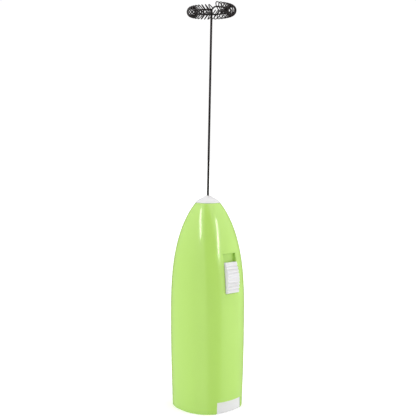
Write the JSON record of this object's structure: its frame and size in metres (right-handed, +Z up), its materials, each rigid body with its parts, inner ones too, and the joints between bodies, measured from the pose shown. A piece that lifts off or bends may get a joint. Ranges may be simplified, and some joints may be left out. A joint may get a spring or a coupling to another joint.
{
  "type": "milk frother",
  "caption": "Hand-held battery milk frother: ogive handle with slide switch and hinged battery door, driving a wire rod that ends in a coiled ring whisk.",
  "frame": {"origin": "on the whisk's spin axis, in the plane of the base rim that the frother stands on", "axes": "+Z up the rod to the whisk, -Y out of the switch's face, +X to the right of someone who looks at the switch"},
  "size_m": [0.0376, 0.0397, 0.215],
  "materials": {
    "shell_plastic": "moulded, satin gloss",
    "white_plastic": "moulded, satin gloss",
    "natural_plastic": "moulded, matte",
    "black_plastic": "moulded, matte",
    "seal_rubber": "moulded",
    "lead_sleeve": "extruded",
    "cell_jacket": "printed film over a can",
    "whisk_wire": "drawn wire, bright",
    "steel": "ground",
    "plated_steel": "nickel plated",
    "contact_brass": "rolled sheet",
    "bearing_bronze": "sintered",
    "magnet_ferrite": "sintered, dark",
    "winding_copper": "enamelled wire"
  },
  "bodies": {
    "housing": {"body_shell": "shell_plastic", "nose_cap": "white_plastic", "rod_bush": "natural_plastic", "rod_seal": "seal_rubber", "door_hinge_pin": "steel", "battery_cell_left": "cell_jacket", "battery_cell_right": "cell_jacket", "inner_frame": "natural_plastic", "motor_retainer": "natural_plastic", "retainer_screws": "steel", "negative_contact": "plated_steel", "positive_contact": "plated_steel", "upper_cell_spring": "plated_steel", "switch_leaf": "contact_brass", "switch_fixed_contact": "contact_brass", "motor_can": "plated_steel", "motor_end_cap": "black_plastic", "upper_bearing": "bearing_bronze", "lower_bearing": "bearing_bronze", "motor_magnets": "magnet_ferrite", "motor_brushes": "contact_brass", "positive_lead": "lead_sleeve", "motor_lead": "lead_sleeve"},
    "whisk": {"motor_shaft": "steel", "armature_core": "steel", "armature_windings": "winding_copper", "commutator": "contact_brass", "shaft_coupler": "white_plastic", "whisk_rod": "whisk_wire", "whisk_coil": "whisk_wire"},
    "switch": {"switch_slider": "white_plastic", "switch_carrier": "natural_plastic"},
    "door": {"battery_door": "white_plastic", "door_contact": "plated_steel", "lower_cell_spring": "plated_steel"}
  },
  "joints": [
    {"name": "whisk_spin", "type": "hinge", "parent": "housing", "child": "whisk", "pos_m": [0, 0, 0], "axis": [0, 0, 1], "continuous": true},
    {"name": "switch_slide", "type": "slide", "parent": "housing", "child": "switch", "axis": [0, 0.1028, 0.9947], "range_m": [0, 0.0044]},
    {"name": "battery_door_hinge", "type": "hinge", "parent": "housing", "child": "door", "pos_m": [0, 0.0146, 0.0015], "axis": [1, 0, 0], "range_deg": [0, 110]}
  ]
}
